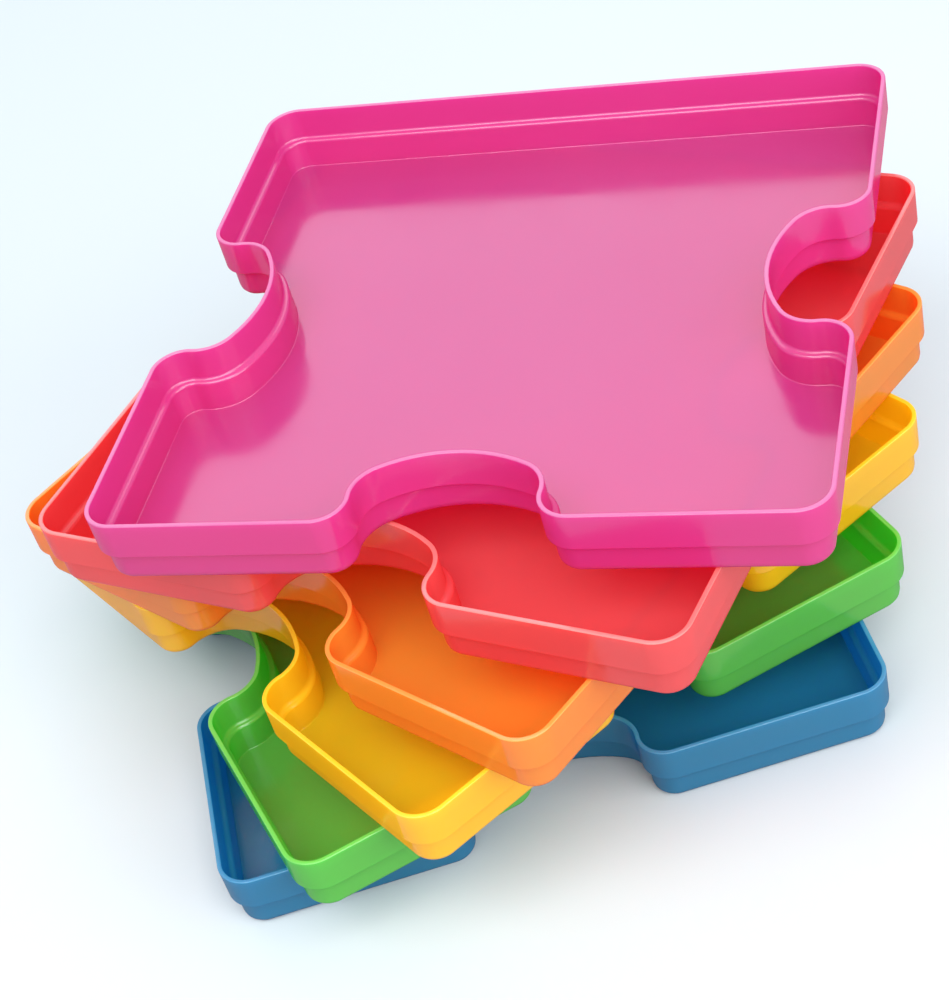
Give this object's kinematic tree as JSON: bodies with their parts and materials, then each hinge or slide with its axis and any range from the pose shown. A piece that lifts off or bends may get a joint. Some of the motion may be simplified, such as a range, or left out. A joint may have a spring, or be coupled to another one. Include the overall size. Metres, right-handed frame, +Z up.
{
  "type": "puzzle sorting tray",
  "caption": "Fanned stack of shallow square plastic trays with jigsaw-shaped notched sides and stepped walls, each resting turned on the rim of the tray below, for sorting puzzle pieces.",
  "frame": {"origin": "centre of the bottom tray's underside, on the surface the stack stands on", "axes": "+Z up through the stack; +X and +Y along the top tray's sides, with its straight side facing +Y and its notched sides facing -X, -Y and +X"},
  "size_m": [0.3494, 0.3423, 0.162],
  "materials": {
    "blue_plastic": "glossy injection-moulded polystyrene",
    "green_plastic": "glossy injection-moulded polystyrene",
    "yellow_plastic": "glossy injection-moulded polystyrene",
    "orange_plastic": "glossy injection-moulded polystyrene",
    "coral_plastic": "glossy injection-moulded polystyrene",
    "pink_plastic": "glossy injection-moulded polystyrene"
  },
  "bodies": {
    "blue_tray": {"blue_tray": "blue_plastic"},
    "green_tray": {"green_tray": "green_plastic"},
    "yellow_tray": {"yellow_tray": "yellow_plastic"},
    "orange_tray": {"orange_tray": "orange_plastic"},
    "coral_tray": {"coral_tray": "coral_plastic"},
    "pink_tray": {"pink_tray": "pink_plastic"}
  },
  "joints": [
    {"name": "green_lift", "type": "slide", "parent": "blue_tray", "child": "green_tray", "axis": [0, 0, 1], "range_m": [0, 0.06]},
    {"name": "yellow_lift", "type": "slide", "parent": "green_tray", "child": "yellow_tray", "axis": [0, 0, 1], "range_m": [0, 0.06]},
    {"name": "orange_lift", "type": "slide", "parent": "yellow_tray", "child": "orange_tray", "axis": [0, 0, 1], "range_m": [0, 0.06]},
    {"name": "coral_lift", "type": "slide", "parent": "orange_tray", "child": "coral_tray", "axis": [0, 0, 1], "range_m": [0, 0.06]},
    {"name": "pink_lift", "type": "slide", "parent": "coral_tray", "child": "pink_tray", "axis": [0, 0, 1], "range_m": [0, 0.06]}
  ]
}
